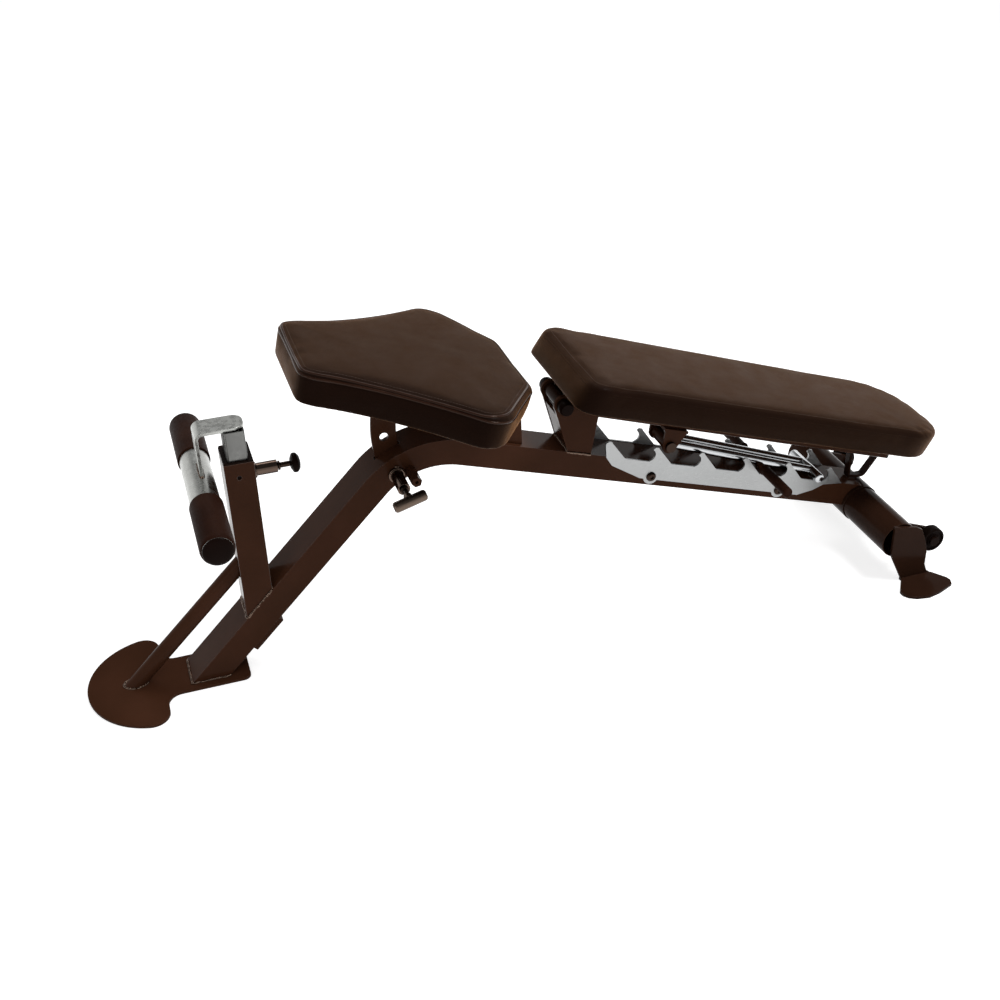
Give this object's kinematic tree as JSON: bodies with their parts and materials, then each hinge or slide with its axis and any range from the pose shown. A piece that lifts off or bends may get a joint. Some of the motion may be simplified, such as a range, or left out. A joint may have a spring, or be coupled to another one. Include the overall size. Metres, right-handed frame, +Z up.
{
  "type": "adjustable weight bench",
  "caption": "Adjustable weight bench: hinged seat and back rest on a bent spine tube, notched ladder with strut, leg roller and transport wheels.",
  "frame": {"origin": "centre of the bounding box in plan, on the floor", "axes": "+X to the rear of the bench, +Y across it, +Z up; the foot plate and roller are at -X"},
  "size_m": [1.7118, 0.536, 0.6352],
  "materials": {
    "frame": "gloss",
    "chrome": "polished",
    "fastener": "satin",
    "rubber": "matt",
    "plastic": "gloss",
    "vinyl": "grained",
    "board": "raw"
  },
  "bodies": {
    "frame": {"front_foot_plate": "frame", "main_frame_tube": "frame", "leg_stiffener_plate": "frame", "foot_brace_tube": "frame", "hold_down_post": "frame", "post_guide_liner": "plastic", "post_pin_barrel": "frame", "seat_pivot_lugs": "frame", "seat_pivot_bolt": "fastener", "seat_pin_barrel": "frame", "seat_pin_guard": "frame", "back_uprights": "frame", "ladder_plate_near": "chrome", "ladder_plate_far": "chrome", "ladder_bolts": "fastener", "rear_cross_tube": "frame", "cross_tube_collar": "frame", "rear_foot_near": "frame", "rear_foot_far": "frame", "wheel_lugs": "frame", "wheel_axles": "fastener"},
    "hold_down": {"hold_down_slider": "chrome", "roller_arm_strap": "chrome", "roller_tube": "chrome", "roller_sleeves": "rubber", "roller_end_caps": "plastic"},
    "post_pull_pin": {"post_pin": "frame", "post_pin_knob": "plastic"},
    "seat": {"seat_pad": "vinyl", "seat_board": "board", "seat_arm_tube": "frame", "seat_selector_plate": "frame"},
    "seat_pull_pin": {"seat_pin": "frame", "seat_pin_handle": "plastic"},
    "back_rest": {"back_pad": "vinyl", "back_board": "board", "back_support_tube": "frame", "back_pivot_tube": "chrome", "back_pivot_caps": "plastic", "back_rest_bracket": "frame", "back_tube_end_cap": "plastic", "strut_lugs": "frame", "strut_pivot_bolt": "fastener"},
    "strut": {"strut_pivot_sleeve": "frame", "strut_rods": "chrome", "strut_crossbar": "chrome", "strut_handle_bar": "frame", "strut_grips": "rubber"},
    "near_wheel": {"wheel_near": "rubber"},
    "far_wheel": {"wheel_far": "rubber"}
  },
  "joints": [
    {"name": "back_recline", "type": "hinge", "parent": "frame", "child": "back_rest", "pos_m": [0.06305, 0, 0.451], "axis": [0, -1, 0], "range_deg": [0, 88]},
    {"name": "strut_swing", "type": "hinge", "parent": "back_rest", "child": "strut", "pos_m": [0.2828, 0, 0.31822], "axis": [0, -1, 0], "range_deg": [-118.8, 0]},
    {"name": "seat_tilt", "type": "hinge", "parent": "frame", "child": "seat", "pos_m": [-0.02895, 0, 0.44], "axis": [0, -1, 0], "range_deg": [0, 14.8]},
    {"name": "hold_down_lift", "type": "slide", "parent": "frame", "child": "hold_down", "axis": [0, 0, 1], "range_m": [0, 0.1]},
    {"name": "post_pin_pull", "type": "slide", "parent": "frame", "child": "post_pull_pin", "axis": [1, 0, 0], "range_m": [0, 0.01], "stiffness_N_per_m": 300},
    {"name": "seat_pin_pull", "type": "slide", "parent": "frame", "child": "seat_pull_pin", "axis": [0, -1, 0], "range_m": [0, 0.012], "stiffness_N_per_m": 300},
    {"name": "near_wheel_spin", "type": "hinge", "parent": "frame", "child": "near_wheel", "pos_m": [0.81105, -0.17, 0.07], "axis": [0, 1, 0], "continuous": true},
    {"name": "far_wheel_spin", "type": "hinge", "parent": "frame", "child": "far_wheel", "pos_m": [0.81105, 0.17, 0.07], "axis": [0, 1, 0], "continuous": true}
  ],
  "couplings": [
    {"joint": "strut_swing", "follows": "back_recline", "ratio": -1.35}
  ]
}
